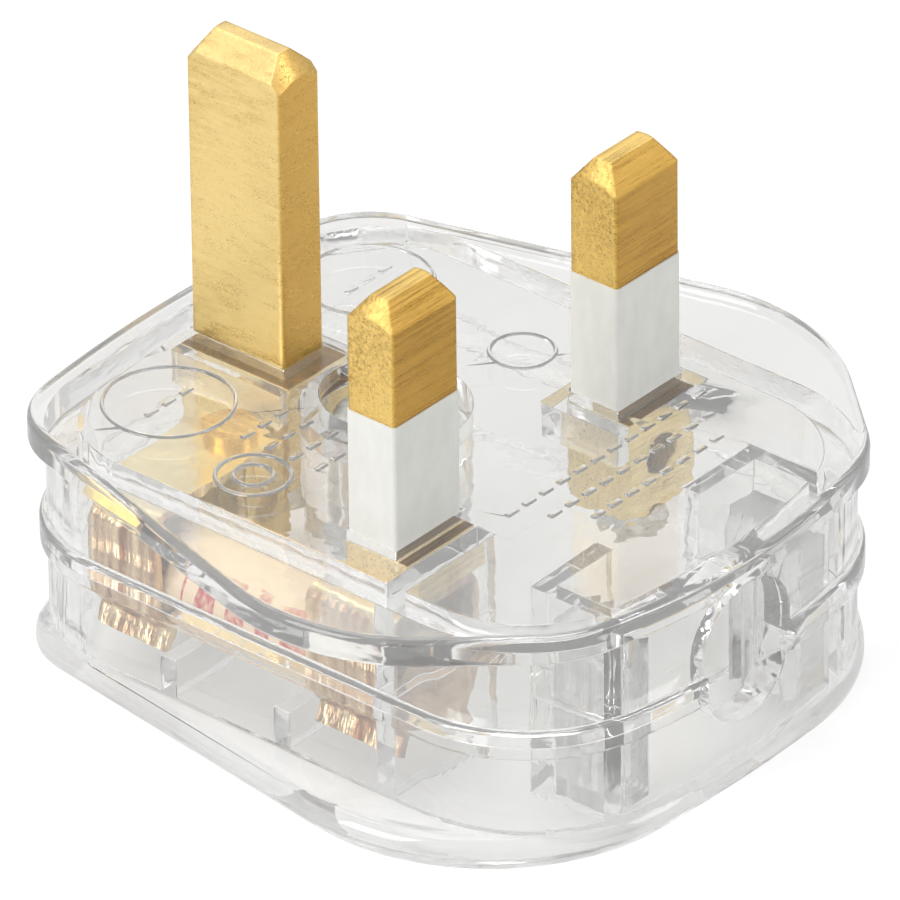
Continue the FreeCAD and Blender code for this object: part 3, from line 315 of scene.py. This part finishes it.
def soften(piece, width, top=math.inf):
    """Rounds sharp mould edges, except on what stands above a height, and smooths the rest."""
    sharp_from, smooth_to = math.radians(40), math.radians(30)
    narrow_share = 4.0
    bpy.ops.object.select_all(action="DESELECT")
    piece.select_set(True)
    bpy.context.view_layer.objects.active = piece
    bpy.ops.object.mode_set(mode="EDIT")
    bpy.ops.mesh.select_mode(type="EDGE")
    bpy.ops.mesh.select_all(action="DESELECT")
    shape = bmesh.from_edit_mesh(piece.data)
    shape.normal_update()
    for edge in shape.edges:
        raised = any(corner.co.z > top + level_tolerance
                     for face in edge.link_faces for corner in face.verts)
        # a crease beside a face that is narrow against the rounding stays as it is
        narrow = any(face.calc_area() < narrow_share * width * edge.calc_length()
                     for face in edge.link_faces)
        edge.select = (edge.is_manifold and not raised and not narrow
                       and edge.calc_face_angle() > sharp_from)
    bmesh.update_edit_mesh(piece.data)
    bpy.ops.mesh.bevel(offset=width, segments=2, clamp_overlap=False)
    bpy.ops.object.mode_set(mode="OBJECT")
    bpy.ops.object.shade_smooth_by_angle(angle=smooth_to)
    flat = piece.modifiers.new("flat_faces_stay_flat", "WEIGHTED_NORMAL")
    flat.weight = 100
    flat.keep_sharp = True
    bpy.ops.object.modifier_apply(modifier=flat.name)


clear, tree, shader = finish("clear polycarbonate", "#F3F3F2", roughness=0.02, ior=1.58)
shader.inputs["Transmission Weight"].default_value = 0.94
# stands for the light piped along the clear walls, which brightens their thick edges
shader.inputs["Emission Color"].default_value = linear("#FFFFFF")
shader.inputs["Emission Strength"].default_value = 0.019
# the cover's floor is frosted on top, and all faces ripple a little from the moulding
place = add_node(tree, "ShaderNodeTexCoord")
at = add_node(tree, "ShaderNodeSeparateXYZ", {"Vector": place.outputs["Object"]})
facing = add_node(tree, "ShaderNodeSeparateXYZ", {"Vector": place.outputs["Normal"]})
level = add_node(tree, "ShaderNodeMath", {0: at.outputs["Z"], 1: floor_top, 2: 0.0002},
                 operation="COMPARE")
upward = add_node(tree, "ShaderNodeMath", {0: facing.outputs["Z"], 1: 0.9},
                  operation="GREATER_THAN")
frosted = add_node(tree, "ShaderNodeMath", {0: level.outputs[0], 1: upward.outputs[0]},
                   operation="MULTIPLY")
flow = add_node(tree, "ShaderNodeTexNoise",
                {"Vector": place.outputs["Object"], "Scale": 300.0, "Detail": 2.0})
sheen = add_node(tree, "ShaderNodeMapRange",
                 {"Value": flow.outputs["Fac"], "To Min": 0.0, "To Max": 0.05})
haze = add_node(tree, "ShaderNodeMath",
                {0: frosted.outputs[0], 1: 0.30, 2: sheen.outputs["Result"]},
                operation="MULTIPLY_ADD")
tree.links.new(haze.outputs[0], shader.inputs["Roughness"])
ripple = add_node(tree, "ShaderNodeBump",
                  {"Height": flow.outputs["Fac"], "Strength": 1.0, "Distance": 0.00005})
tree.links.new(ripple.outputs["Normal"], shader.inputs["Normal"])

base = merged_copy("housing_base", "base")
for corner in base.data.vertices:
    if corner.co.z < seam + level_tolerance:
        corner.co.z += seam_air
cover = merged_copy("housing_cover", "cover")
for corner in cover.data.vertices:
    if corner.co.z > seam - level_tolerance:
        corner.co.z -= seam_air

# the raised marks, first the rings and then the bars, are joined and united with the base
bar_pitch = 0.00172
marks = []
for x, y, radius in ((-0.0100, 0.01615, 0.0044), (0.0100, 0.01615, 0.0044),
                     (0.0096, 0.00245, 0.0022), (-0.0133, 0.00595, 0.0025),
                     (-0.0133, 0.00595, 0.0013)):
    bpy.ops.mesh.primitive_torus_add(location=(x, y, face_top), major_radius=radius,
                                     minor_radius=0.00016, major_segments=72, minor_segments=8)
    marks.append(bpy.context.object)
bpy.ops.mesh.primitive_cube_add(size=0.001, location=(0, 0, 0))
bar = bpy.context.object
bpy.ops.object.mode_set(mode="EDIT")
bpy.ops.transform.resize(value=(1.15, 0.50, 0.30))
bpy.ops.mesh.bevel(offset=0.00012, segments=2)
bpy.ops.object.mode_set(mode="OBJECT")
for y, start, count in ((-0.0100, -0.0062, 12), (-0.0122, -0.0045, 10), (-0.0144, -0.0028, 8),
                        (0.01615, -0.01172, 3), (0.01615, 0.00828, 3), (0.0095, -0.0098, 3),
                        (0.0074, -0.0098, 3), (0.0053, -0.0098, 3), (0.0032, -0.0098, 3)):
    for step in range(count):
        copy = bpy.data.objects.new("bar", bar.data.copy())
        scene.collection.objects.link(copy)
        copy.data.transform(Matrix.Translation((start + step * bar_pitch, y, face_top)))
        marks.append(copy)
bpy.data.objects.remove(bar)
bpy.ops.object.select_all(action="DESELECT")
for mark in marks:
    mark.select_set(True)
bpy.context.view_layer.objects.active = marks[0]
bpy.ops.object.join()
marks = bpy.context.object
bpy.ops.object.transform_apply(location=True, rotation=True, scale=True)
union = base.modifiers.new("marks", "BOOLEAN")
union.operation = "UNION"
union.solver = "EXACT"
union.use_self = True
union.object = marks
bpy.ops.object.select_all(action="DESELECT")
base.select_set(True)
bpy.context.view_layer.objects.active = base
bpy.ops.object.modifier_apply(modifier=union.name)
bpy.data.objects.remove(marks)
bpy.ops.object.mode_set(mode="EDIT")
bpy.ops.mesh.select_all(action="SELECT")
bpy.ops.mesh.remove_doubles(threshold=5e-6)
bpy.ops.mesh.dissolve_degenerate(threshold=sliver)
bpy.ops.object.mode_set(mode="OBJECT")
soften(base, edge_rounding, top=face_top)
soften(cover, edge_rounding)

for piece, node in ((base, "base"), (cover, "cover")):
    piece.data.materials.clear()
    piece.data.materials.append(clear)
    piece.visible_shadow = False
    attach(piece, "root")
    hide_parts(node)


# Cord grip. Two jaws of clear nylon stand on either side of the cord hole. They are moulded
# loose and slide into the base, and the cord's sheath is pushed in between them.
jaw_nylon, tree, shader = grained("clear nylon", "#FAFAFA", "#F1F1EF", stretch=(350, 350, 700),
                                  depth=0.00002, roughness=0.12, ior=1.53)
shader.inputs["Transmission Weight"].default_value = 1.0
dress(jaw_nylon, "cord_grip_left", "cord_grip_right")


# Fuse. A tube of glazed ceramic full of quartz sand, with a thin element through it and a
# plated brass cap pressed on each end. Red bars and a block stand where its print would be.
ceramic, tree, shader = finish("glazed ceramic", "#E2CDB0", roughness=0.35, ior=1.55)


def combine(tree, one, other, how="MULTIPLY"):
    """Two values or masks put together."""
    return add_node(tree, "ShaderNodeMath", {0: one, 1: other}, operation=how).outputs[0]


def within(tree, value, low, high):
    """1 where a value lies between two limits."""
    above = combine(tree, value, low, "GREATER_THAN")
    below = combine(tree, value, high, "LESS_THAN")
    return combine(tree, above, below)


print_side_x = -0.0122
print_pitch = 0.0013
place = add_node(tree, "ShaderNodeTexCoord")
at = add_node(tree, "ShaderNodeSeparateXYZ", {"Vector": place.outputs["Object"]})
outer_side = combine(tree, at.outputs["X"], print_side_x, "LESS_THAN")
row = combine(tree, within(tree, at.outputs["Z"], 0.0086, 0.0106), outer_side)
steps = combine(tree, at.outputs["Y"], print_pitch, "PINGPONG")
bars = combine(tree, within(tree, steps, 0.0, 0.0008),
               within(tree, at.outputs["Y"], 0.0022, 0.0098))
square = within(tree, at.outputs["Y"], -0.0010, 0.0012)
print_mask = combine(tree, row, combine(tree, bars, square, "MAXIMUM"))
wear = add_node(tree, "ShaderNodeTexNoise",
                {"Vector": place.outputs["Object"], "Scale": 2600.0, "Detail": 3.0})
patchy = add_node(tree, "ShaderNodeMapRange",
                  {"Value": wear.outputs["Fac"], "From Min": 0.35, "From Max": 0.6,
                   "To Min": 0.35, "To Max": 1.0})
ink = combine(tree, print_mask, patchy.outputs["Result"])
printed = add_node(tree, "ShaderNodeMixRGB",
                   {"Fac": ink, "Color1": linear("#E6CFAF"), "Color2": linear("#B93A42")})
tree.links.new(printed.outputs["Color"], shader.inputs["Base Color"])
dress(ceramic, "fuse_barrel")
sand, *_ = grained("quartz sand", "#E4DCCB", "#B9AB93", stretch=(6000, 6000, 6000),
                   depth=0.00005, roughness=0.9)
dress(sand, "fuse_filler")
cap, *_ = grained("plated brass cap", "#DDBB94", "#A98259", stretch=(300, 1500, 300),
                  depth=0.00001, metallic=1.0, roughness=0.25, edge=0.0002)
dress(cap, "fuse_cap_front", "fuse_cap_rear", "fuse_element")


# Fuse clips. Phosphor bronze strip, pressed into two U shapes that spring on to the caps.
# The strip is rolled; its waves, tarnish and painted reflections run in streaks down the arms.
copper, tree, shader = grained("phosphor bronze sheet", "#FFE9C0", "#8C5224",
                               stretch=(500, 900, 90), depth=0.0003,
                               metallic=1.0, roughness=0.16)
# the flats that face the pins are smoother than the arms, and brighter from a painted highlight
at_surface = add_node(tree, "ShaderNodeTexCoord")
sides = add_node(tree, "ShaderNodeSeparateXYZ", {"Vector": at_surface.outputs["Normal"]})
upright = add_node(tree, "ShaderNodeMapRange",
                   {"Value": sides.outputs["Z"], "From Min": 0.6, "From Max": 0.9,
                    "To Min": 1.0, "To Max": 0.15})
# the sheet's streaked colour is part tarnish, part painted reflection
tarnish_and_painted_streaks = shader.inputs["Base Color"].links[0].from_socket
waves = shader.inputs["Normal"].links[0].from_node
tree.links.new(upright.outputs["Result"], waves.inputs["Strength"])
# painted highlight: up-facing flats are mixed towards a pale colour
painted_flat_highlight = add_node(tree, "ShaderNodeMixRGB",
                     {"Fac": upright.outputs["Result"], "Color1": linear("#FFEDB4"),
                      "Color2": tarnish_and_painted_streaks})
tree.links.new(painted_flat_highlight.outputs["Color"], shader.inputs["Base Color"])
dress(copper, "fuse_clip_front", "fuse_clip_rear")


# Terminals and screws. The live terminal is a block sawn from brass bar, riveted to its clip.
# Its screw, those of the pins and the cover screw with its nut are zinc plated steel.
machined, *_ = grained("machined brass", "#FFE19A", "#C2933C", stretch=(1800, 250, 250),
                       depth=0.00002, metallic=1.0, roughness=0.25, edge=0.00015)
dress(machined, "live_terminal", "clip_rivet")
steel, *_ = grained("zinc plated steel", "#E2E1DA", "#A9A9A8", stretch=(700, 700, 2200),
                    depth=0.00001, metallic=1.0, roughness=0.25, edge=0.00012)
dress(steel, "earth_terminal_screw", "neutral_terminal_screw", "live_terminal_screw",
      "cover_screw", "cover_nut")
